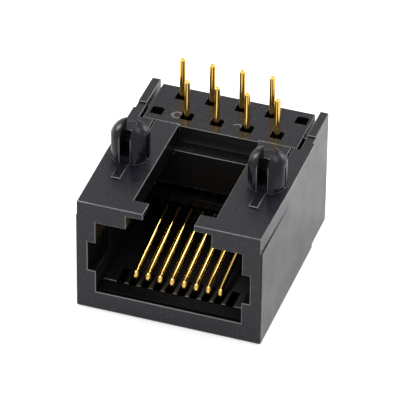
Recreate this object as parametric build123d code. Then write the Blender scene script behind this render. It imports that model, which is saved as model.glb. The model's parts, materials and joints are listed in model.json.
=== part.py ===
from build123d import *
from math import cos, radians, sin, sqrt, tan
import os

# Right-angle modular jack with eight wire contacts, in millimetres, solder side up.
# X runs across the width, +Y from the plug opening to the back, +Z from the resting face to the board.
# While it is built, Y counts from the front face. Each finished solid is moved to the origin,
# the middle of the resting face.

# Housing: outer form
body_width = 15.42
body_height = 10.40
body_depth = 17.70
floor_wall = 1.00
bottom_round = 0.20
front_round = 0.12

# Housing: flanks. The upper band is set in at the front and fades out towards the back.
flank_inset = 0.10
flank_line_z = 8.95
flank_fade_length = 7.00

# Housing: plug opening, side notches and latch passage
opening_width = 12.14
opening_bottom_z = 1.75
opening_top_z = 8.58
notch_width = 13.50
notch_bottom_z = 3.79
notch_top_z = 6.55
notch_depth = 3.40
passage_width = 7.06
passage_top_z = 9.83
sill_depth = 1.10
sill_ridge_depth = 0.16
sill_step_z = 1.50

# Housing: window in the board wall and the two lips that hold the plug's latch
window_width = 6.81
lip_depth = 1.53
lip_gap = 4.22
board_wall_end = 12.35

# Housing: rear arms
arm_wall = 0.75
arm_inset_start = 13.52
arm_inset = 0.16
arm_corner_round = 0.20
seat_rise = 0.15
arm_pad_start = 14.20

# Housing: one slit on each side of the board wall, ending at the insert
slit_left_x = -5.50
slit_right_x = 6.12
slit_width = 0.12
slit_left_length = 2.00
slit_right_length = 1.15

# Housing: board pegs. The fullness is how far out the middle of the dome's arc lies, as a share
# of the radius and of the dome's height.
peg_spacing = 11.43
peg_to_front_row = 6.35
peg_diameter = 3.15
peg_height = 3.36
peg_straight = 2.20
peg_fullness = 0.65
peg_foot_round = 0.05
peg_slot_width = 0.88
peg_slot_rear = 0.28
peg_core_front = -0.15
peg_core_z = 1.30
peg_lobe_rear = 0.40
peg_shelf_z = 2.08
peg_groove_width = 0.26
peg_groove_y = -0.28
peg_groove_depth = 0.35
peg_rib_width = 0.76
peg_rib_length = 3.62

# Solder tails: two staggered rows of five places, of which the inner eight are loaded
places = 10
tail_pitch = 1.27
row_spacing = 2.54
front_row_y = 13.645
tail_above_front = 3.47
tail_above_rear = 3.70
tail_hole_x = 1.02
tail_hole_y = 1.00

# Contact wires
wire_diameter = 0.46
contact_pitch = 1.016
tip_round = 0.18
run_z = 1.56
nose_bend_y = 2.98
spring_angle = 9.6
nose_bend_radius = 0.55
spring_end_y = 11.70
corner_radius = 0.60
splay_radius = 1.20
splay_front_y = 10.55
splay_rear_y = 12.55

# Insert that carries the wires
insert_set_in = 0.30
insert_set_back = 0.34
insert_gap = 0.03
seam_gap = 0.05
plate_nose_y = 12.20
ledge_front_y = 10.90
ledge_z = 8.90
tongue_front_y = 0.32
tongue_lap = 0.10
shelf_z = 1.88
comb_front_y = 1.60
comb_top_z = 1.98
comb_rib_width = 0.36
comb_slot_rear = 3.45
groove_width = 0.62
groove_top_z = 1.84
pocket_bottom_z = 2.30
pocket_rear_y = 12.20
pocket_top_z = 5.50
bar_front_y = 10.15
bar_depth = 0.60
bar_top_z = 5.00
bar_clearance = 0.04
tooth_width = 0.32
side_rib_start = 14.20
side_rib_length = 0.80
side_rib_drop = 0.20
mark_radius = 0.36
mark_line = 0.08
mark_depth = 0.04
mark_x = -3.98
mark_y = 13.55

# Values worked out from the ones above
half_width = body_width / 2
arm_outer_half = half_width - arm_inset
arm_inner_half = arm_outer_half - arm_wall
insert_half = arm_inner_half - insert_set_in
insert_rear = body_depth - insert_set_back
board_z = body_height
seat_z = board_z + seat_rise
peg_radius = peg_diameter / 2
peg_y = front_row_y - peg_to_front_row
wire_radius = wire_diameter / 2
rear_row_y = front_row_y + row_spacing
slope = tan(radians(spring_angle))
beyond = 1.0


def block(x0, x1, y0, y1, z0, z1):
    """A box between two corners."""
    middle = ((x0 + x1) / 2, (y0 + y1) / 2, (z0 + z1) / 2)
    return Pos(*middle) * Box(x1 - x0, y1 - y0, z1 - z0)


def centred(half, y0, y1, z0, z1):
    """A box centred on the middle plane."""
    return block(-half, half, y0, y1, z0, z1)


def both_sides(solid):
    """A solid with its mirror image in the middle plane."""
    return solid + mirror(solid, about=Plane.YZ)


def prism_xy(points, z0, z1):
    """A prism along Z with its outline in X and Y."""
    return Pos(0, 0, z0) * extrude(Polygon(*points, align=None), amount=z1 - z0, dir=(0, 0, 1))


def tail_place(place):
    """X and Y of a solder tail's place."""
    x = (place - (places - 1) / 2) * tail_pitch
    y = front_row_y if place % 2 == 0 else rear_row_y
    return x, y


def comb_x(place):
    """X of a contact wire where it lies in the comb."""
    return (place - (places - 1) / 2) * contact_pitch


def spring_z(y):
    """Height of the middle of the slanted run of a wire."""
    tangent_y = nose_bend_y - nose_bend_radius * sin(radians(spring_angle))
    tangent_z = run_z + nose_bend_radius * (1 + cos(radians(spring_angle)))
    return tangent_z + (y - tangent_y) * slope


def flank_cut():
    """The thin wedge that sets in the upper band of the right flank."""
    rate = flank_inset / flank_fade_length
    wedge = [
        (half_width - flank_inset - beyond * rate, -beyond),
        (half_width, flank_fade_length),
        (half_width + beyond, flank_fade_length),
        (half_width + beyond, -beyond),
    ]
    return prism_xy(wedge, flank_line_z, board_z + beyond)


def outer_form():
    """The housing before its openings are cut."""
    front = centred(half_width, 0, arm_inset_start, 0, board_z)
    front = fillet(front.edges().filter_by(Axis.X).group_by(Axis.Z)[0], bottom_round)
    front = fillet(front.faces().sort_by(Axis.Y)[0].edges().filter_by(Axis.Z), front_round)
    front -= both_sides(flank_cut())
    rear = centred(arm_outer_half, arm_inset_start - beyond, body_depth, 0, board_z)
    rear += both_sides(block(arm_inner_half, arm_outer_half, arm_pad_start, body_depth, board_z - beyond, seat_z))
    rear_corners = rear.edges().filter_by(Axis.Z).group_by(Axis.Y)[-1]
    outer_corners = rear_corners.sort_by(Axis.X)[:1] + rear_corners.sort_by(Axis.X)[-1:]
    rear = fillet(outer_corners, arm_corner_round)
    return front + rear


def peg():
    """One board peg at the origin, standing on the board face."""
    mid = sqrt(0.5)
    foot = peg_radius + peg_foot_round
    dome = peg_height - peg_straight
    with BuildSketch(Plane.XZ) as half:
        with BuildLine():
            Polyline((0, peg_height), (0, -seat_rise), (foot, -seat_rise), (foot, 0))
            ThreePointArc(
                (foot, 0),
                (foot - peg_foot_round * mid, peg_foot_round * (1 - mid)),
                (peg_radius, peg_foot_round),
            )
            Line((peg_radius, peg_foot_round), (peg_radius, peg_straight))
            ThreePointArc(
                (peg_radius, peg_straight),
                (peg_radius * peg_fullness, peg_straight + dome * peg_fullness),
                (0, peg_height),
            )
        make_face()
    body = revolve(half.sketch, Axis.Z)
    reach = peg_radius + beyond
    slot_half = peg_slot_width / 2
    body -= block(-slot_half, slot_half, -reach, peg_core_front, seat_rise, peg_height + beyond)
    body -= block(-slot_half, slot_half, peg_core_front - 0.1, peg_slot_rear, peg_core_z, peg_height + beyond)
    body -= block(-slot_half, slot_half, 0, reach, peg_shelf_z, peg_height + beyond)
    body -= block(-reach, reach, peg_lobe_rear, reach, peg_shelf_z, peg_height + beyond)
    groove = block(
        peg_radius - peg_groove_depth,
        reach,
        peg_groove_y - peg_groove_width / 2,
        peg_groove_y + peg_groove_width / 2,
        peg_foot_round,
        peg_shelf_z,
    )
    return body - both_sides(groove)


def housing():
    """The outer moulding with the plug opening, lips, pegs and rear arms."""
    shell = outer_form()
    opening_half = opening_width / 2
    window_half = window_width / 2
    shell -= centred(opening_half, -beyond, board_wall_end + beyond, opening_bottom_z, opening_top_z)
    shell -= centred(opening_half, sill_ridge_depth, board_wall_end + beyond, sill_step_z, opening_bottom_z + 0.1)
    shell -= centred(opening_half, sill_depth, board_wall_end + beyond, floor_wall, opening_bottom_z)
    shell -= centred(notch_width / 2, -beyond, notch_depth, notch_bottom_z, notch_top_z)
    shell -= centred(passage_width / 2, -beyond, lip_depth, opening_top_z - 0.1, passage_top_z)
    shell -= centred(lip_gap / 2, -beyond, lip_depth + 0.1, passage_top_z - 0.1, board_z + beyond)
    shell -= centred(window_half, lip_depth, board_wall_end + beyond, opening_top_z - 0.1, board_z + beyond)
    shell -= centred(arm_inner_half, board_wall_end, body_depth + beyond, floor_wall, board_z + beyond)
    for x, length in ((slit_left_x, slit_left_length), (slit_right_x, slit_right_length)):
        shell -= block(
            x - slit_width / 2,
            x + slit_width / 2,
            board_wall_end - length,
            board_wall_end + 0.1,
            opening_top_z - 0.1,
            board_z + beyond,
        )
    for side in (-1, 1):
        x = side * peg_spacing / 2
        rib = block(
            x - peg_rib_width / 2,
            x + peg_rib_width / 2,
            peg_y - peg_rib_length,
            peg_y,
            board_z - seat_rise,
            seat_z,
        )
        shell += rib
        shell += Pos(x, peg_y, board_z) * peg()
    return shell


def comb(shape):
    """Cuts the wire slots, the pocket for the wires' free ends and its bar into the insert."""
    slot_half = (contact_pitch - comb_rib_width) / 2
    field_half = comb_x(places - 1) + slot_half
    bar_rear = bar_front_y + bar_depth
    bar_bottom = spring_z(bar_rear) + wire_radius / cos(radians(spring_angle)) + bar_clearance
    for place in range(places):
        x = comb_x(place)
        shape -= block(x - slot_half, x + slot_half, comb_front_y, comb_slot_rear, 0, comb_top_z + 0.1)
    shape -= centred(field_half, bar_front_y - 0.1, pocket_rear_y, pocket_bottom_z, pocket_top_z)
    teeth = centred(field_half + 0.1, bar_front_y, bar_rear, bar_bottom, bar_top_z)
    for place in range(places - 1):
        x = (comb_x(place) + comb_x(place + 1)) / 2
        teeth += block(
            x - tooth_width / 2,
            x + tooth_width / 2,
            bar_front_y,
            pocket_rear_y + 0.1,
            pocket_bottom_z - 0.1,
            bar_top_z,
        )
    return shape + teeth


def wire_ways(shape):
    """Cuts the hidden grooves and the upright channels that lead each wire to its tail."""
    slot_half = groove_width / 2
    for place in range(places):
        x0 = comb_x(place)
        x1, row_y = tail_place(place)
        splay = [
            (x0 - slot_half, comb_slot_rear - 0.1),
            (x0 + slot_half, comb_slot_rear - 0.1),
            (x0 + slot_half, splay_front_y),
            (x1 + slot_half, splay_rear_y),
            (x1 + slot_half, row_y),
            (x1 - slot_half, row_y),
            (x1 - slot_half, splay_rear_y),
            (x0 - slot_half, splay_front_y),
        ]
        shape -= prism_xy(splay, 0, groove_top_z)
        shape -= block(
            x1 - tail_hole_x / 2,
            x1 + tail_hole_x / 2,
            row_y - tail_hole_y / 2,
            row_y + tail_hole_y / 2,
            0,
            board_z + beyond,
        )
    return shape


def contact_insert():
    """The inner moulding: a rear block, and a tongue with the comb that reaches to the opening."""
    base_z = floor_wall + insert_gap
    front_half = opening_width / 2 - seam_gap
    plate_front = board_wall_end + seam_gap
    nose_half = window_width / 2 - seam_gap
    lap_z = sill_step_z + seam_gap
    shape = centred(insert_half, plate_front, insert_rear, base_z, board_z)
    shape += centred(front_half, ledge_front_y, plate_front, base_z, opening_top_z - insert_gap)
    shape += centred(nose_half, ledge_front_y, plate_front, opening_top_z - beyond, ledge_z)
    shape += centred(nose_half, plate_nose_y, plate_front, ledge_z - beyond, board_z)
    shape += centred(front_half, bar_front_y, ledge_front_y, base_z, bar_top_z)
    shape += centred(front_half, comb_front_y, bar_front_y, base_z, comb_top_z)
    shape += centred(front_half, sill_depth + tongue_lap, comb_front_y, base_z, shelf_z)
    shape += centred(front_half, tongue_front_y, comb_front_y, lap_z, shelf_z)
    rib_half = arm_inner_half - insert_gap
    shape += centred(rib_half, side_rib_start, side_rib_start + side_rib_length, base_z, board_z - side_rib_drop)
    shape = comb(shape)
    shape = wire_ways(shape)
    ring = Circle(mark_radius) - Circle(mark_radius - mark_line)
    shape -= Pos(mark_x, mark_y, board_z - mark_depth) * extrude(ring, amount=beyond)
    return shape


def contact(place):
    """One bent wire: solder tail, run under the comb, bend at the nose and slanted spring."""
    x0 = comb_x(place)
    x1, row_y = tail_place(place)
    tail_above = tail_above_front if row_y == front_row_y else tail_above_rear
    angle = radians(spring_angle)
    bend_z = run_z + nose_bend_radius
    tip = (x1, row_y, board_z + tail_above)
    run_start = (x0, nose_bend_y, run_z)
    run = FilletPolyline(
        tip,
        (x1, row_y, run_z),
        (x1, splay_rear_y, run_z),
        (x0, splay_front_y, run_z),
        run_start,
        radius=[corner_radius, splay_radius, splay_radius],
    )
    middle = radians(90 + spring_angle / 2)
    bend = ThreePointArc(
        run_start,
        (x0, nose_bend_y - nose_bend_radius * sin(middle), bend_z + nose_bend_radius * cos(middle)),
        (x0, nose_bend_y - nose_bend_radius * sin(angle), bend_z + nose_bend_radius * cos(angle)),
    )
    spring = Line(bend @ 1, (x0, spring_end_y, spring_z(spring_end_y)))
    path = run + bend + spring
    section = Plane(origin=tip, z_dir=(0, 0, -1)) * Circle(wire_radius)
    wire = sweep(section, path=path)
    rings = wire.edges().filter_by(GeomType.CIRCLE)
    ends = rings.sort_by_distance(tip)[:1] + rings.sort_by_distance(spring @ 1)[:1]
    return fillet(ends, tip_round)


def save(name, shape):
    """Moves a finished solid to the origin of the part and writes it."""
    export_step(Pos(0, -body_depth / 2, 0) * shape, f"parts/{name}.step")


os.makedirs("parts", exist_ok=True)
save("housing", housing())
save("contact_insert", contact_insert())
for number in range(1, places - 1):
    save(f"contact_{number}", contact(number))
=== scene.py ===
import bmesh
import bpy
import json
import math
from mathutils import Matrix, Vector


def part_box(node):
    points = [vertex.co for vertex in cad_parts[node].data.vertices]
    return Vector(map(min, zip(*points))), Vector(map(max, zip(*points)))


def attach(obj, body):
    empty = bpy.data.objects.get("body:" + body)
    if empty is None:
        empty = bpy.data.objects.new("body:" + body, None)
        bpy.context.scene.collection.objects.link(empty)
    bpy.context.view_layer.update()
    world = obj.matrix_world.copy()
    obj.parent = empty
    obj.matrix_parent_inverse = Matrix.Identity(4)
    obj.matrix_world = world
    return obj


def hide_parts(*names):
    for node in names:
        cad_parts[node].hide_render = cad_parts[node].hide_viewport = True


bl_info = {
    "name": "Board jack",
    "version": (1, 0, 0),
    "blender": (4, 5, 0),
    "location": "3D View > Sidebar > Board jack",
    "description": "Dresses the frame of a modular jack in its finishes and sets its stage",
    "category": "Object",
}

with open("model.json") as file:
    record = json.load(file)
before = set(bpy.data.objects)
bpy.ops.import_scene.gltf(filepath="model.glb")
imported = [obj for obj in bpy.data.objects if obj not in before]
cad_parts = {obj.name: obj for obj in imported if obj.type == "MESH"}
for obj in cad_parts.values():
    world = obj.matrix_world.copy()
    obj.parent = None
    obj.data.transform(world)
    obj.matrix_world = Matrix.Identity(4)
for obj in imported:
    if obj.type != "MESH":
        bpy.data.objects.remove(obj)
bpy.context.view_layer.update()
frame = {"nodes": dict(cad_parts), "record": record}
CONTACTS = sorted(name for name in frame["nodes"] if name.startswith("contact_") and name != "contact_insert")
PEGS = next(mount for mount in frame["record"]["mounts"] if mount["name"] == "locating_pegs")

MM = 0.001
WHITE = (1.0, 1.0, 1.0, 1.0)

# The finishes of a moulding, in the order of its material slots: the outer plastic, a darker copy that paints
# shade on inner faces, a paler copy that paints highlight on the rounded edges, and one more copy that paints
# shade on the pegs or the deepest faces.
OUTER, INNER, EDGE, EXTRA = 0, 1, 2, 3

# An edge is rounded when it is sharper than this and both its faces are this many edge rounds deep and wide.
SHARP_ANGLE = math.radians(32)
DEEP_ROUNDS = 2.1
WIDE_ROUNDS = 1.5

# Broad flats that meet between these two angles keep a crease, and each broad flat is shaded flat.
FLAT_ANGLE = math.radians(0.3)
CREASE_ANGLE = math.radians(6)
FLAT_BREADTH = 0.4 * MM

# Loose triangles are joined where their points meet, and flats that meet below this angle become one.
POINT_GAP = 0.001 * MM
JOIN_ANGLE = math.radians(0.1)

# The two front corners of a moulding, above the flank line, and the gap below which their points are joined.
CORNER_DEPTH = 0.01 * MM
CORNER_LOW = 8.90 * MM
CORNER_OUT = 7.58 * MM
CORNER_GAP = 0.03 * MM

# The pale rings painted on the insert: middle, line behind which the ring shows, and strength.
RING_MARKS = (
    ((-3.98 * MM, 4.70 * MM), 4.20 * MM, 1.00),
    ((1.10 * MM, 4.70 * MM), 4.88 * MM, 0.80),
)
RING_RADIUS = 0.39 * MM
RING_HALF_WIDTH = 0.07 * MM
RING_HALF_CORE = 0.03 * MM


# Settings

class JackPlastic(bpy.types.PropertyGroup):
    """Black moulded plastic of the housing and of the insert."""

    housing_colour: bpy.props.FloatVectorProperty(
        name="Housing colour",
        description="Colour of the outer moulding",
        subtype="COLOR",
        size=4,
        min=0.0,
        max=1.0,
        default=(0.0048, 0.0044, 0.0084, 1.0),
    )
    insert_colour: bpy.props.FloatVectorProperty(
        name="Insert colour",
        description="Colour of the inner moulding that holds the contacts",
        subtype="COLOR",
        size=4,
        min=0.0,
        max=1.0,
        default=(0.0046, 0.0042, 0.0080, 1.0),
    )
    # Painted shade: a darker colour than the plastic's own, for the faces inside the jack.
    inner_shade_colour: bpy.props.FloatVectorProperty(
        name="Inner shade colour",
        description="Colour of the faces inside the jack, which little light reaches",
        subtype="COLOR",
        size=4,
        min=0.0,
        max=1.0,
        default=(0.0036, 0.0035, 0.0040, 1.0),
    )
    # Painted highlight: the paler colour of the thin rounded edges stands in for the light that the edges
    # catch.
    edge_highlight_colour: bpy.props.FloatVectorProperty(
        name="Edge highlight colour",
        description="Colour of the thin rounded edges, where the mould leaves the plastic paler",
        subtype="COLOR",
        size=4,
        min=0.0,
        max=1.0,
        default=(0.115, 0.114, 0.120, 1.0),
    )
    dust_colour: bpy.props.FloatVectorProperty(
        name="Dust colour",
        description="Colour of the fine specks and ring marks on the plastic",
        subtype="COLOR",
        size=4,
        min=0.0,
        max=1.0,
        default=(0.20, 0.20, 0.215, 1.0),
    )
    roughness: bpy.props.FloatProperty(
        name="Roughness",
        description="Roughness of the moulded faces",
        subtype="FACTOR",
        min=0.0,
        max=1.0,
        default=0.30,
    )
    peg_roughness: bpy.props.FloatProperty(
        name="Peg roughness",
        description="Roughness of the two board pegs",
        subtype="FACTOR",
        min=0.0,
        max=1.0,
        default=0.20,
    )
    outer_sheen: bpy.props.FloatProperty(
        name="Outer sheen",
        description="How strongly the outer faces reflect, where 0.5 is plain plastic",
        subtype="FACTOR",
        min=0.0,
        max=1.0,
        default=0.285,
    )
    # Painted shade: a weaker reflection darkens the pegs, which are the housing's own plastic.
    peg_shade_sheen: bpy.props.FloatProperty(
        name="Peg shade sheen",
        description="How strongly the two board pegs reflect, where 0.5 is plain plastic",
        subtype="FACTOR",
        min=0.0,
        max=1.0,
        default=0.20,
    )
    # Painted shade: a weaker reflection darkens the faces inside the housing.
    inner_painted_sheen: bpy.props.FloatProperty(
        name="Inner shade sheen",
        description="How strongly the faces inside the housing reflect, where 0.5 is plain plastic",
        subtype="FACTOR",
        min=0.0,
        max=1.0,
        default=0.14,
    )
    # Painted light: a stronger reflection lightens the insert's ledge and tongue, which keep the darker inner
    # shade colour.
    ledge_lit_sheen: bpy.props.FloatProperty(
        name="Ledge lit sheen",
        description="How strongly the insert's ledge and tongue reflect, where 0.5 is plain plastic",
        subtype="FACTOR",
        min=0.0,
        max=1.0,
        default=0.46,
    )
    # Painted shade: a much weaker reflection darkens the deepest faces around the comb.
    depth_shade_sheen: bpy.props.FloatProperty(
        name="Depth shade sheen",
        description="How strongly the deepest faces around the comb reflect, where 0.5 is plain plastic",
        subtype="FACTOR",
        min=0.0,
        max=1.0,
        default=0.06,
    )
    # Painted highlight: a stronger reflection brightens the thin rounded edges.
    edge_highlight_sheen: bpy.props.FloatProperty(
        name="Edge highlight sheen",
        description="How strongly the thin rounded edges reflect, where 0.5 is plain plastic",
        subtype="FACTOR",
        min=0.0,
        max=1.0,
        default=0.6,
    )
    edge_round: bpy.props.FloatProperty(
        name="Edge round",
        description="Width of the small round that the mould leaves along each edge",
        unit="LENGTH",
        subtype="DISTANCE",
        precision=6,
        min=0.0,
        default=0.00006,
    )
    grain_size: bpy.props.FloatProperty(
        name="Grain size",
        description="Size of one grain of the moulded texture",
        unit="LENGTH",
        subtype="DISTANCE",
        precision=6,
        min=0.00001,
        default=0.00014,
    )
    mottle: bpy.props.FloatProperty(
        name="Mottle",
        description="How much the grain lightens and darkens the plastic",
        subtype="FACTOR",
        min=0.0,
        max=1.0,
        default=0.32,
    )


class JackGold(bpy.types.PropertyGroup):
    """Gold plating of the contact wires."""

    colour: bpy.props.FloatVectorProperty(
        name="Gold colour",
        description="Colour of the plating",
        subtype="COLOR",
        size=4,
        min=0.0,
        max=1.0,
        default=(0.82, 0.54, 0.15, 1.0),
    )
    rim_colour: bpy.props.FloatVectorProperty(
        name="Rim colour",
        description="Tint of the reflection along the rims of the wire",
        subtype="COLOR",
        size=4,
        min=0.0,
        max=1.0,
        default=(0.74, 0.48, 0.16, 1.0),
    )
    roughness: bpy.props.FloatProperty(
        name="Roughness",
        description="Roughness of the plating",
        subtype="FACTOR",
        min=0.0,
        max=1.0,
        default=0.07,
    )


class JackStage(bpy.types.PropertyGroup):
    """Floor, lamps and camera."""

    floor_size: bpy.props.FloatProperty(
        name="Floor size",
        description="Width of the white floor",
        unit="LENGTH",
        subtype="DISTANCE",
        default=2.0,
    )
    floor_glow: bpy.props.FloatProperty(
        name="Floor glow",
        description="Light that the floor adds where the camera or a reflection sees it",
        min=0.0,
        default=0.36,
    )
    sky_strength: bpy.props.FloatProperty(
        name="Sky strength",
        description="Strength of the plain white surroundings as they light the object",
        min=0.0,
        default=0.75,
    )
    lamp_power: bpy.props.FloatProperty(
        name="Lamp power",
        description="Power of a lamp with a full share, in watts",
        unit="POWER",
        min=0.0,
        default=0.35,
    )
    lamp_distance: bpy.props.FloatProperty(
        name="Lamp distance",
        description="Distance of each lamp from the middle of the object",
        unit="LENGTH",
        subtype="DISTANCE",
        default=0.30,
    )
    lens: bpy.props.FloatProperty(
        name="Lens",
        description="Focal length of the camera in millimetres",
        unit="CAMERA",
        default=360.0,
    )


# Small helpers

def deselect_all():
    """Leaves nothing selected and nothing active."""
    if bpy.context.mode != "OBJECT":
        bpy.ops.object.mode_set(mode="OBJECT")
    bpy.ops.object.select_all(action="DESELECT")
    bpy.context.view_layer.objects.active = None


def make_active(piece):
    """Selects one object alone and makes it active."""
    deselect_all()
    piece.select_set(True)
    bpy.context.view_layer.objects.active = piece


def apply_modifiers(piece):
    """Applies each modifier of a piece in order."""
    make_active(piece)
    for modifier in list(piece.modifiers):
        bpy.ops.object.modifier_apply(modifier=modifier.name)


def paint(piece, *materials):
    """Gives the piece these materials in this order."""
    piece.data.materials.clear()
    for material in materials:
        piece.data.materials.append(material)


def dress(piece, node):
    """Lets a piece stand for a node: attaches it to the root body and hides the node."""
    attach(piece, "root")
    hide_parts(node)


# Meshes

def face_depth(face, edge):
    """How far a face reaches away from one of its edges."""
    start = edge.verts[0].co
    along = (edge.verts[1].co - start).normalized()
    return max((vertex.co - start).cross(along).length for vertex in face.verts)


def breadth(points, area):
    """Twice a face's area over its outline, which is near the width of a long strip."""
    around = sum((start - end).length for start, end in zip(points, points[1:] + points[:1]))
    return 2 * area / around


def face_breadth(face):
    """The breadth of a face that is being edited."""
    return breadth([vertex.co for vertex in face.verts], face.calc_area())


def mark_edges(piece, edge_round, hidden_height):
    """Marks the outer edges to round, and keeps a crease between flats that meet at a small angle."""
    shape = bmesh.new()
    shape.from_mesh(piece.data)
    weight = shape.edges.layers.float.new("bevel_weight_edge")
    least_depth = DEEP_ROUNDS * edge_round
    least_width = WIDE_ROUNDS * edge_round
    for edge in shape.edges:
        if len(edge.link_faces) != 2:
            continue
        angle = edge.calc_face_angle()
        faces = edge.link_faces
        deep = all(face_depth(face, edge) > least_depth for face in faces)
        wide = all(len(face.verts) <= 4 or face_breadth(face) > least_width for face in faces)
        seen = any(vertex.co.z > hidden_height for vertex in edge.verts)
        if angle > SHARP_ANGLE and edge.is_convex and deep and wide and seen:
            edge[weight] = 1.0
        elif FLAT_ANGLE < angle < CREASE_ANGLE:
            edge.smooth = not all(face_breadth(face) > FLAT_BREADTH for face in faces)
    shape.to_mesh(piece.data)
    shape.free()


def flatten_broad_faces(piece):
    """Turns every corner normal of a broad flat face square to it, so that no shade runs across it."""
    mesh = piece.data
    normals = [corner.vector.copy() for corner in mesh.corner_normals]
    for face in mesh.polygons:
        points = [mesh.vertices[index].co for index in face.vertices]
        if face.material_index in (OUTER, INNER) and breadth(points, face.area) > FLAT_BREADTH:
            for corner in face.loop_indices:
                normals[corner] = face.normal
    mesh.normals_split_custom_set(normals)


def merged_copy(node, name):
    """A copy of a node's mesh with its loose triangles joined, left active in edit mode."""
    deselect_all()
    piece = bpy.data.objects.new(name, frame["nodes"][node].data.copy())
    bpy.context.scene.collection.objects.link(piece)
    make_active(piece)
    bpy.ops.object.mode_set(mode="EDIT")
    bpy.ops.mesh.select_all(action="SELECT")
    bpy.ops.mesh.remove_doubles(threshold=POINT_GAP)
    return piece


def join_front_corners(piece, front):
    """Joins the points of the two front corners that lie closer together than an edge round can follow."""
    bpy.ops.mesh.select_mode(type="VERT")
    bpy.ops.mesh.select_all(action="DESELECT")
    bpy.ops.object.mode_set(mode="OBJECT")
    for vertex in piece.data.vertices:
        x, y, z = vertex.co
        vertex.select = y < front + CORNER_DEPTH and z > CORNER_LOW and abs(x) > CORNER_OUT
    bpy.ops.object.mode_set(mode="EDIT")
    bpy.ops.mesh.remove_doubles(threshold=CORNER_GAP)
    bpy.ops.mesh.select_all(action="SELECT")


def smooth_by_area(piece):
    """Smooths a piece, with the largest faces ruling the shade at each corner."""
    flats = piece.modifiers.new("Flat faces", "WEIGHTED_NORMAL")
    flats.mode = "FACE_AREA"
    flats.weight = 100
    flats.keep_sharp = True
    make_active(piece)
    bpy.ops.object.shade_smooth_by_angle(angle=SHARP_ANGLE)
    apply_modifiers(piece)


def round_edges(piece, edge_round):
    """Gives a piece a modifier that rounds its marked edges and paints the rounds with the edge finish, a
    painted highlight.
    """
    bevel = piece.modifiers.new("Edge round", "BEVEL")
    bevel.width = edge_round
    bevel.segments = 2
    bevel.limit_method = "WEIGHT"
    bevel.material = EDGE
    bevel.use_clamp_overlap = False
    bevel.loop_slide = False


def moulding_from_node(node, name, materials, face_finish, edge_finish, edge_round, hidden_height):
    """A copy of a node's mesh with rounded edges, each face painted with the finish of its place."""
    piece = merged_copy(node, name)
    join_front_corners(piece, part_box(node)[0][1])
    bpy.ops.mesh.dissolve_limited(angle_limit=JOIN_ANGLE)
    bpy.ops.object.mode_set(mode="OBJECT")
    paint(piece, *materials)
    for face in piece.data.polygons:
        face.material_index = face_finish(face)
    mark_edges(piece, edge_round, hidden_height)
    round_edges(piece, edge_round)
    smooth_by_area(piece)
    for face in piece.data.polygons:
        if face.material_index == EDGE:
            face.material_index = edge_finish(face.center)
    flatten_broad_faces(piece)
    return piece


def wire_from_node(node, name, material):
    """A smooth copy of a contact's mesh."""
    piece = merged_copy(node, name)
    bpy.ops.object.mode_set(mode="OBJECT")
    smooth_by_area(piece)
    paint(piece, material)
    return piece


# Shader groups

def new_group(name, inputs, outputs):
    """An empty shader group with named sockets, and its two end nodes."""
    group = bpy.data.node_groups.new(name, "ShaderNodeTree")
    for label, kind, value in inputs:
        socket = group.interface.new_socket(name=label, in_out="INPUT", socket_type=kind)
        if value is not None:
            socket.default_value = value
    for label, kind in outputs:
        group.interface.new_socket(name=label, in_out="OUTPUT", socket_type=kind)
    start = group.nodes.new("NodeGroupInput")
    end = group.nodes.new("NodeGroupOutput")
    return group, start, end


def group_once(name, build):
    """The shader group of that name, built the first time it is asked for."""
    found = bpy.data.node_groups.get(name)
    return found if found else build(name)


def add_node(tree, kind, **settings):
    """A new node with plain settings."""
    node = tree.nodes.new(kind)
    for key, value in settings.items():
        setattr(node, key, value)
    return node


def math_node(tree, operation, first, second, clamp=False):
    """A math node on two links or numbers."""
    node = add_node(tree, "ShaderNodeMath", operation=operation, use_clamp=clamp)
    for socket, value in zip(node.inputs, (first, second)):
        if isinstance(value, (int, float)):
            socket.default_value = value
        else:
            tree.links.new(value, socket)
    return node.outputs[0]


def noise_node(tree, vector, detail, scale=None):
    """A noise on a vector, with its scale left to a link where none is given."""
    noise = add_node(tree, "ShaderNodeTexNoise", noise_dimensions="3D")
    noise.inputs["Detail"].default_value = detail
    if scale is not None:
        noise.inputs["Scale"].default_value = scale
    tree.links.new(vector, noise.inputs["Vector"])
    return noise


def ramp_node(tree, value, start, end):
    """Rises from 0 to 1 as a value goes from start to end."""
    ramp = add_node(tree, "ShaderNodeMapRange")
    ramp.inputs["From Min"].default_value = start
    ramp.inputs["From Max"].default_value = end
    tree.links.new(value, ramp.inputs["Value"])
    return ramp.outputs[0]


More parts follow.
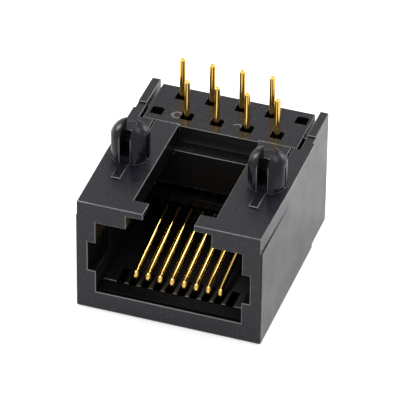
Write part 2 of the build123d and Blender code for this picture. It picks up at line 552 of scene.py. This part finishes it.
def moulded_texture_group(name):
    """Fine satin grain of moulded plastic, sparse dust specks and faint rubbed streaks."""
    group, start, end = new_group(
        name,
        [
            ("Vector", "NodeSocketVector", None),
            ("Grain Scale", "NodeSocketFloat", 11000.0),
            ("Speck Scale", "NodeSocketFloat", 5200.0),
            ("Speck Amount", "NodeSocketFloat", 0.35),
            ("Rub Amount", "NodeSocketFloat", 0.15),
        ],
        [
            ("Height", "NodeSocketFloat"),
            ("Roughness Shift", "NodeSocketFloat"),
            ("Dust", "NodeSocketFloat"),
            ("Grain", "NodeSocketFloat"),
        ],
    )
    vector = start.outputs["Vector"]
    grain = noise_node(group, vector, detail=3.0)
    grain.inputs["Roughness"].default_value = 0.62
    group.links.new(start.outputs["Grain Scale"], grain.inputs["Scale"])
    cloud = noise_node(group, vector, detail=4.0, scale=420.0)

    stretch = add_node(group, "ShaderNodeMapping")
    stretch.inputs["Scale"].default_value = (0.16, 1.0, 0.22)
    stretch.inputs["Rotation"].default_value = (0.2, 0.3, 0.5)
    group.links.new(vector, stretch.inputs["Vector"])
    rub = noise_node(group, stretch.outputs["Vector"], detail=2.0, scale=7000.0)
    rub_mask = ramp_node(group, rub.outputs["Fac"], 0.60, 0.78)

    specks = add_node(group, "ShaderNodeTexVoronoi", feature="F1")
    group.links.new(vector, specks.inputs["Vector"])
    group.links.new(start.outputs["Speck Scale"], specks.inputs["Scale"])
    near = ramp_node(group, specks.outputs["Distance"], 0.22, 0.10)
    parts = add_node(group, "ShaderNodeSeparateColor")
    group.links.new(specks.outputs["Color"], parts.inputs["Color"])
    chosen = math_node(group, "LESS_THAN", parts.outputs[0], start.outputs["Speck Amount"])
    speck = math_node(group, "MULTIPLY", near, chosen)
    speck = math_node(group, "MULTIPLY", speck, ramp_node(group, cloud.outputs["Fac"], 0.40, 0.66))
    rubbed = math_node(group, "MULTIPLY", rub_mask, start.outputs["Rub Amount"])
    dust = math_node(group, "ADD", speck, rubbed, clamp=True)

    height = math_node(group, "ADD", grain.outputs["Fac"], math_node(group, "MULTIPLY", speck, 0.8))
    shift = math_node(group, "SUBTRACT", cloud.outputs["Fac"], 0.5)
    group.links.new(height, end.inputs["Height"])
    group.links.new(shift, end.inputs["Roughness Shift"])
    group.links.new(dust, end.inputs["Dust"])
    group.links.new(grain.outputs["Fac"], end.inputs["Grain"])
    return group


def ring_mark_group(name):
    """A thin pale ring painted on the plastic, shown only behind a given line."""
    group, start, end = new_group(
        name,
        [
            ("Vector", "NodeSocketVector", None),
            ("Place", "NodeSocketVector", None),
            ("Behind", "NodeSocketFloat", 0.0),
            ("Strength", "NodeSocketFloat", 0.5),
        ],
        [("Mask", "NodeSocketFloat")],
    )
    offset = add_node(group, "ShaderNodeVectorMath", operation="SUBTRACT")
    group.links.new(start.outputs["Vector"], offset.inputs[0])
    group.links.new(start.outputs["Place"], offset.inputs[1])
    level = add_node(group, "ShaderNodeVectorMath", operation="MULTIPLY")
    level.inputs[1].default_value = (1.0, 1.0, 0.0)
    group.links.new(offset.outputs["Vector"], level.inputs[0])
    reach = add_node(group, "ShaderNodeVectorMath", operation="LENGTH")
    group.links.new(level.outputs["Vector"], reach.inputs[0])
    away = math_node(group, "SUBTRACT", reach.outputs["Value"], RING_RADIUS)
    away = math_node(group, "ABSOLUTE", away, 0.0)
    line = ramp_node(group, away, RING_HALF_WIDTH, RING_HALF_CORE)
    parts = add_node(group, "ShaderNodeSeparateXYZ")
    group.links.new(start.outputs["Vector"], parts.inputs["Vector"])
    behind = math_node(group, "GREATER_THAN", parts.outputs["Y"], start.outputs["Behind"])
    mask = math_node(group, "MULTIPLY", line, behind)
    mask = math_node(group, "MULTIPLY", mask, start.outputs["Strength"])
    group.links.new(mask, end.inputs["Mask"])
    return group


def plating_group(name):
    """Uneven sheen and faint draw lines of plated wire."""
    group, start, end = new_group(
        name,
        [("Vector", "NodeSocketVector", None), ("Scale", "NodeSocketFloat", 2600.0)],
        [("Height", "NodeSocketFloat"), ("Tarnish", "NodeSocketFloat")],
    )
    vector = start.outputs["Vector"]
    stretch = add_node(group, "ShaderNodeMapping")
    stretch.inputs["Scale"].default_value = (1.0, 0.35, 0.12)
    group.links.new(vector, stretch.inputs["Vector"])
    lines = noise_node(group, stretch.outputs["Vector"], detail=2.0)
    line_scale = math_node(group, "MULTIPLY", start.outputs["Scale"], 4.0)
    group.links.new(line_scale, lines.inputs["Scale"])
    cloud = noise_node(group, vector, detail=3.0)
    group.links.new(start.outputs["Scale"], cloud.inputs["Scale"])
    group.links.new(lines.outputs["Fac"], end.inputs["Height"])
    group.links.new(cloud.outputs["Fac"], end.inputs["Tarnish"])
    return group


# Materials

def new_material(name):
    """An empty node material with its Principled shader and Object coordinates."""
    material = bpy.data.materials.new(name)
    material.use_nodes = True
    tree = material.node_tree
    tree.nodes.clear()
    output = add_node(tree, "ShaderNodeOutputMaterial")
    shader = add_node(tree, "ShaderNodeBsdfPrincipled")
    tree.links.new(shader.outputs["BSDF"], output.inputs["Surface"])
    place = add_node(tree, "ShaderNodeTexCoord")
    return material, tree, shader, place.outputs["Object"]


def add_bump(tree, shader, height, strength, distance):
    """Raises the surface by a height mask, over a distance in metres."""
    bump = add_node(tree, "ShaderNodeBump")
    bump.inputs["Strength"].default_value = strength
    bump.inputs["Distance"].default_value = distance
    tree.links.new(height, bump.inputs["Height"])
    tree.links.new(bump.outputs["Normal"], shader.inputs["Normal"])


def moulded_plastic(name, plastic, colour, roughness, sheen, specks=0.0, rubs=0.0, mottle=0.0):
    """Black moulded plastic with a fine grain and a little dust."""
    dust_cover = 0.55
    dust_roughness = 0.25
    patch_roughness = 0.20
    material, tree, shader, place = new_material(name)
    texture = group_once("Moulded texture", moulded_texture_group)
    marks = add_node(tree, "ShaderNodeGroup", node_tree=texture)
    tree.links.new(place, marks.inputs["Vector"])
    marks.inputs["Grain Scale"].default_value = 1.0 / plastic.grain_size
    marks.inputs["Speck Amount"].default_value = specks
    marks.inputs["Rub Amount"].default_value = rubs
    uneven = math_node(tree, "SUBTRACT", marks.outputs["Grain"], 0.5)
    uneven = math_node(tree, "MULTIPLY", uneven, mottle)
    amount = math_node(tree, "MULTIPLY", marks.outputs["Dust"], dust_cover)
    amount = math_node(tree, "ADD", amount, uneven, clamp=True)
    tint = add_node(tree, "ShaderNodeMix", data_type="RGBA")
    tint.inputs["A"].default_value = colour
    tint.inputs["B"].default_value = plastic.dust_colour
    tree.links.new(amount, tint.inputs["Factor"])
    tree.links.new(tint.outputs["Result"], shader.inputs["Base Color"])
    patches = math_node(tree, "MULTIPLY", marks.outputs["Roughness Shift"], patch_roughness)
    rough = math_node(tree, "ADD", patches, roughness)
    dusty = math_node(tree, "MULTIPLY", marks.outputs["Dust"], dust_roughness)
    rough = math_node(tree, "ADD", rough, dusty, clamp=True)
    tree.links.new(rough, shader.inputs["Roughness"])
    add_bump(tree, shader, marks.outputs["Height"], strength=0.7, distance=0.000018)
    shader.inputs["IOR"].default_value = 1.5
    shader.inputs["Specular IOR Level"].default_value = sheen
    return material


def plastic_set(plastic, part, colour, roughness, specks, inner_painted_sheen):
    """The three finishes of one moulding: outer faces, inner faces with painted shade (a darker colour and
    their own reflection strength), and thin edges with painted highlight (a paler colour and a stronger
    reflection).
    """
    outer = moulded_plastic(
        f"{part} plastic", plastic, colour, roughness, plastic.outer_sheen,
        specks=specks, rubs=0.15, mottle=plastic.mottle,
    )
    # Painted shade: a darker copy of the plastic for the inner faces.
    inner = moulded_plastic(
        f"{part} inside", plastic, plastic.inner_shade_colour, plastic.roughness, inner_painted_sheen,
        specks=0.3 * specks, mottle=0.05,
    )
    # Painted highlight: a paler copy of the plastic for the rounded edges.
    edges = moulded_plastic(
        f"{part} edges", plastic, plastic.edge_highlight_colour, roughness, plastic.edge_highlight_sheen,
        mottle=0.1,
    )
    return outer, inner, edges


def add_ring_marks(material, plastic):
    """Mixes the pale ring marks into the colour of a plastic."""
    tree = material.node_tree
    place = next(node for node in tree.nodes if node.type == "TEX_COORD").outputs["Object"]
    shader = next(node for node in tree.nodes if node.type == "BSDF_PRINCIPLED")
    colour = shader.inputs["Base Color"].links[0].from_socket
    total = 0.0
    for (x, y), line, strength in RING_MARKS:
        ring = add_node(tree, "ShaderNodeGroup", node_tree=group_once("Ring mark", ring_mark_group))
        tree.links.new(place, ring.inputs["Vector"])
        ring.inputs["Place"].default_value = (x, y, 0.0)
        ring.inputs["Behind"].default_value = line
        ring.inputs["Strength"].default_value = strength
        total = math_node(tree, "ADD", ring.outputs["Mask"], total)
    tint = add_node(tree, "ShaderNodeMix", data_type="RGBA")
    tint.inputs["B"].default_value = plastic.dust_colour
    tree.links.new(total, tint.inputs["Factor"])
    tree.links.new(colour, tint.inputs["A"])
    tree.links.new(tint.outputs["Result"], shader.inputs["Base Color"])


def gold_plating(name, gold):
    """Bright gold plating on drawn wire."""
    darkest = 0.80
    spread = 0.06
    material, tree, shader, place = new_material(name)
    marks = add_node(tree, "ShaderNodeGroup", node_tree=group_once("Plated wire", plating_group))
    tree.links.new(place, marks.inputs["Vector"])
    tint = add_node(tree, "ShaderNodeMix", data_type="RGBA")
    tint.inputs["A"].default_value = gold.colour
    tint.inputs["B"].default_value = [darkest * part for part in gold.colour[:3]] + [1.0]
    tree.links.new(marks.outputs["Tarnish"], tint.inputs["Factor"])
    tree.links.new(tint.outputs["Result"], shader.inputs["Base Color"])
    rough = math_node(tree, "MULTIPLY", marks.outputs["Tarnish"], spread)
    rough = math_node(tree, "ADD", rough, gold.roughness - spread / 2, clamp=True)
    tree.links.new(rough, shader.inputs["Roughness"])
    shader.inputs["Metallic"].default_value = 1.0
    shader.inputs["Specular Tint"].default_value = gold.rim_colour
    add_bump(tree, shader, marks.outputs["Height"], strength=0.06, distance=0.000001)
    return material


def seen_directly(tree):
    """1 where the camera, a reflection or a clear body sees the surface, and 0 where it lights the object."""
    path = add_node(tree, "ShaderNodeLightPath")
    seen = math_node(tree, "ADD", path.outputs["Is Camera Ray"], path.outputs["Is Glossy Ray"])
    return math_node(tree, "ADD", seen, path.outputs["Is Transmission Ray"], clamp=True)


# Operators

class JACK_OT_housing(bpy.types.Operator):
    """Dress the outer moulding in black plastic with softened edges"""

    bl_idname = "jack.housing"
    bl_label = "Housing"

    def execute(self, context):
        plastic = context.scene.jack_plastic
        colour = plastic.housing_colour
        materials = plastic_set(
            plastic, "Housing", colour, plastic.roughness, specks=0.40, inner_painted_sheen=plastic.inner_painted_sheen
        )
        # Painted shade: the pegs get a darker copy of the housing plastic, with a weaker reflection.
        peg_shaded_plastic = moulded_plastic(
            "Housing pegs", plastic, colour, plastic.peg_roughness, plastic.peg_shade_sheen,
            specks=0.2, rubs=0.1, mottle=0.1,
        )
        low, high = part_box("housing")
        skin = 0.05 * MM
        half_inside = 6.95 * MM
        floor_top = 0.90 * MM
        board_side = 10.30 * MM
        shaded_front = low[1] + 6 * skin
        shaded_top = board_side - 2 * skin
        peg_foot = board_side + 0.2 * MM
        core_top = 11.80 * MM
        peg_x = PEGS["dims"]["spacing_x_mm"] / 2 * MM
        peg_y = PEGS["pos_m"][1]
        peg_radius = PEGS["dims"]["stud_r_mm"] * MM
        peg_reach = 1.1 * peg_radius
        slot_reach = 0.93 * peg_radius
        core_reach = 0.8 * peg_radius

        def from_peg(place):
            return math.hypot(abs(place.x) - peg_x, place.y - peg_y)

        # Painted shade: faces in the peg slots and inside the housing take the darker inner finish, and the
        # rest of each peg takes the shaded peg finish.
        def face_finish(face):
            place = face.center
            if place.z > peg_foot and from_peg(place) < peg_reach:
                in_slot = from_peg(place) < slot_reach and face.normal.y < 0.7
                upright = abs(face.normal.z) < 0.5
                return INNER if in_slot and (upright or place.z < core_top) else EXTRA
            between = low[1] + skin < place.y < high[1] - skin and floor_top < place.z < board_side
            return INNER if between and abs(place.x) < half_inside else OUTER

        # Rounded edges keep the painted highlight of the edge finish, except inside the housing and in the
        # peg slots above the foot, where they take the painted shade of the inner finish.
        def edge_finish(place):
            if from_peg(place) < core_reach and place.z < core_top:
                return INNER if place.z > peg_foot else EDGE
            inside = abs(place.x) < half_inside and place.y > shaded_front and place.z < shaded_top
            return INNER if inside else EDGE

        all_seen = -MM
        piece = moulding_from_node(
            "housing", "housing_moulding", (*materials, peg_shaded_plastic),
            face_finish, edge_finish, plastic.edge_round, all_seen,
        )
        dress(piece, "housing")
        return {"FINISHED"}


class JACK_OT_insert(bpy.types.Operator):
    """Dress the inner moulding that holds the contacts"""

    bl_idname = "jack.insert"
    bl_label = "Contact insert"

    def execute(self, context):
        plastic = context.scene.jack_plastic
        materials = plastic_set(
            plastic, "Insert", plastic.insert_colour, 0.6 * plastic.roughness,
            specks=0.30, inner_painted_sheen=plastic.ledge_lit_sheen,
        )
        add_ring_marks(materials[OUTER], plastic)
        # Painted shade: the deepest faces around the comb get a darker copy of the plastic with a much weaker
        # reflection.
        shaded_depths = moulded_plastic(
            "Insert depths", plastic, plastic.inner_shade_colour, plastic.roughness, plastic.depth_shade_sheen
        )
        low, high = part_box("contact_insert")
        skin = 0.10 * MM
        back_face = high[1] - skin
        plate_top = high[2] - 0.2 * skin
        plate_skin = high[2] - skin
        ledge_low = 8.40 * MM
        comb_front = low[1] + 1.28 * MM
        comb_back = -0.50 * MM
        comb_top = 5.0 * MM
        holes_front = 4.20 * MM
        holes_back = 7.95 * MM
        half_holes = 6.40 * MM
        groove_reach = 0.38 * MM

        def in_ring_groove(place):
            x, y = RING_MARKS[0][0]
            return math.hypot(place.x - x, place.y - y) < groove_reach

        # Painted shade on the side faces and the deep upward faces; the ledge and tongue get a darker colour
        # with a stronger reflection; the ring groove takes the painted highlight of the edge finish.
        def face_finish(face):
            place = face.center
            if place.y > back_face or place.z > plate_top:
                return OUTER
            if place.z > plate_skin:
                return EDGE if in_ring_groove(place) else OUTER
            if face.normal.z < 0.5:
                return EXTRA
            return INNER if place.z > ledge_low or comb_front < place.y < comb_back else EXTRA

        # Rounded edges keep the painted highlight, except around the tail holes, which keep the outer finish,
        # and low in the comb, where they take the painted shade of the depth finish.
        def edge_finish(place):
            by_hole = holes_front < place.y < holes_back and abs(place.x) < half_holes
            if place.z > plate_skin and by_hole:
                return EDGE if in_ring_groove(place) else OUTER
            in_shade = place.z < comb_top and abs(place.y - comb_front) > skin
            return EXTRA if in_shade else EDGE

        edge_round = 0.7 * plastic.edge_round
        hidden_height = low[2] + skin
        piece = moulding_from_node(
            "contact_insert", "insert_moulding", (*materials, shaded_depths),
            face_finish, edge_finish, edge_round, hidden_height,
        )
        dress(piece, "contact_insert")
        return {"FINISHED"}


class JACK_OT_contacts(bpy.types.Operator):
    """Plate the eight bent wires with gold"""

    bl_idname = "jack.contacts"
    bl_label = "Contacts"

    def execute(self, context):
        material = gold_plating("Contact gold", context.scene.jack_gold)
        for name in CONTACTS:
            piece = wire_from_node(name, name.replace("contact", "wire"), material)
            dress(piece, name)
        return {"FINISHED"}


class JACK_OT_stage(bpy.types.Operator):
    """Set the white floor, the soft lamps and the camera"""

    bl_idname = "jack.stage"
    bl_label = "Stage"

    def execute(self, context):
        stage = context.scene.jack_stage
        self.floor(stage)
        self.sky(context.scene, stage)
        self.lamps(context.scene, stage)
        self.camera(context.scene, stage)
        context.scene.view_settings.view_transform = "Standard"
        return {"FINISHED"}

    def floor(self, stage):
        """A white floor that keeps the object's contact shadow."""
        below = 0.02 * MM
        pale = (0.86, 0.86, 0.86, 1.0)
        deselect_all()
        bpy.ops.mesh.primitive_plane_add(size=stage.floor_size, location=(0, 0, -below))
        floor = bpy.context.active_object
        floor.name = "white_floor"
        bpy.ops.object.transform_apply(location=True, rotation=True, scale=True)
        material = bpy.data.materials.new("White floor")
        material.use_nodes = True
        tree = material.node_tree
        tree.nodes.clear()
        output = add_node(tree, "ShaderNodeOutputMaterial")
        cloth = add_node(tree, "ShaderNodeBsdfDiffuse")
        cloth.inputs["Color"].default_value = pale
        glow = add_node(tree, "ShaderNodeEmission")
        glow.inputs["Color"].default_value = WHITE
        both = add_node(tree, "ShaderNodeAddShader")
        strength = math_node(tree, "MULTIPLY", seen_directly(tree), stage.floor_glow)
        tree.links.new(strength, glow.inputs["Strength"])
        tree.links.new(cloth.outputs[0], both.inputs[0])
        tree.links.new(glow.outputs[0], both.inputs[1])
        tree.links.new(both.outputs[0], output.inputs["Surface"])
        paint(floor, material)

    def sky(self, scene, stage):
        """Plain white surroundings, white to the camera and in reflections."""
        world = bpy.data.worlds.new("White surroundings")
        scene.world = world
        world.use_nodes = True
        tree = world.node_tree
        tree.nodes.clear()
        output = add_node(tree, "ShaderNodeOutputWorld")
        background = add_node(tree, "ShaderNodeBackground")
        background.inputs["Color"].default_value = WHITE
        extra = math_node(tree, "MULTIPLY", seen_directly(tree), 1.0 - stage.sky_strength)
        strength = math_node(tree, "ADD", extra, stage.sky_strength)
        tree.links.new(strength, background.inputs["Strength"])
        tree.links.new(background.outputs[0], output.inputs["Surface"])

    def lamps(self, scene, stage):
        """Five soft square lamps around the object, each facing its middle."""
        middle = Vector((0, 0, 0.008))
        # Name, azimuth and elevation in degrees, width in metres, and share of the lamp power.
        places = (
            ("lamp_left", -100, 26, 0.10, 1.0),
            ("lamp_right", 98, 52, 0.14, 0.68),
            ("lamp_top", 164, 58, 0.09, 0.5),
            ("lamp_back", 142, 15, 0.09, 0.5),
            ("lamp_front", -22, 49, 0.10, 0.66),
        )
        for name, azimuth, elevation, size, share in places:
            a = math.radians(azimuth)
            e = math.radians(elevation)
            outward = Vector((math.sin(a) * math.cos(e), -math.cos(a) * math.cos(e), math.sin(e)))
            light = bpy.data.lights.new(name, "AREA")
            light.shape = "SQUARE"
            light.size = size
            light.energy = share * stage.lamp_power
            lamp = bpy.data.objects.new(name, light)
            scene.collection.objects.link(lamp)
            lamp.location = outward * stage.lamp_distance + middle
            lamp.rotation_mode = "QUATERNION"
            lamp.rotation_quaternion = (-outward).to_track_quat("-Z", "Y")

    def camera(self, scene, stage):
        """The camera at the photograph's place."""
        data = bpy.data.cameras.new("Camera")
        data.lens = stage.lens
        data.sensor_width = 36.0
        data.clip_start = 0.01
        data.clip_end = 10.0
        camera = bpy.data.objects.new("Camera", data)
        scene.collection.objects.link(camera)
        camera.location = (0.081182, -0.243609, 0.197260)
        camera.rotation_euler = (0.930928, -0.009049, 0.329850)
        scene.camera = camera


class JACK_PT_panel(bpy.types.Panel):
    """Lists the jack's pieces and their settings"""

    bl_idname = "JACK_PT_panel"
    bl_label = "Board jack"
    bl_space_type = "VIEW_3D"
    bl_region_type = "UI"
    bl_category = "Board jack"

    def draw(self, context):
        layout = self.layout
        scene = context.scene
        for step in STEPS:
            layout.operator(step.bl_idname)
        for group in (scene.jack_plastic, scene.jack_gold, scene.jack_stage):
            box = layout.box()
            for key in group.__annotations__:
                box.prop(group, key)


STEPS = (JACK_OT_housing, JACK_OT_insert, JACK_OT_contacts, JACK_OT_stage)
CLASSES = (JackPlastic, JackGold, JackStage) + STEPS + (JACK_PT_panel,)


def register():
    """Registers the settings, operators and panel."""
    for cls in CLASSES:
        bpy.utils.register_class(cls)
    bpy.types.Scene.jack_plastic = bpy.props.PointerProperty(type=JackPlastic)
    bpy.types.Scene.jack_gold = bpy.props.PointerProperty(type=JackGold)
    bpy.types.Scene.jack_stage = bpy.props.PointerProperty(type=JackStage)


def unregister():
    """Takes the settings, operators and panel away again."""
    del bpy.types.Scene.jack_stage
    del bpy.types.Scene.jack_gold
    del bpy.types.Scene.jack_plastic
    for cls in reversed(CLASSES):
        bpy.utils.unregister_class(cls)


def main():
    """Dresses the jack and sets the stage."""
    register()
    bpy.ops.jack.housing()
    bpy.ops.jack.insert()
    bpy.ops.jack.contacts()
    bpy.ops.jack.stage()
    deselect_all()


if __name__ == "__main__":
    main()
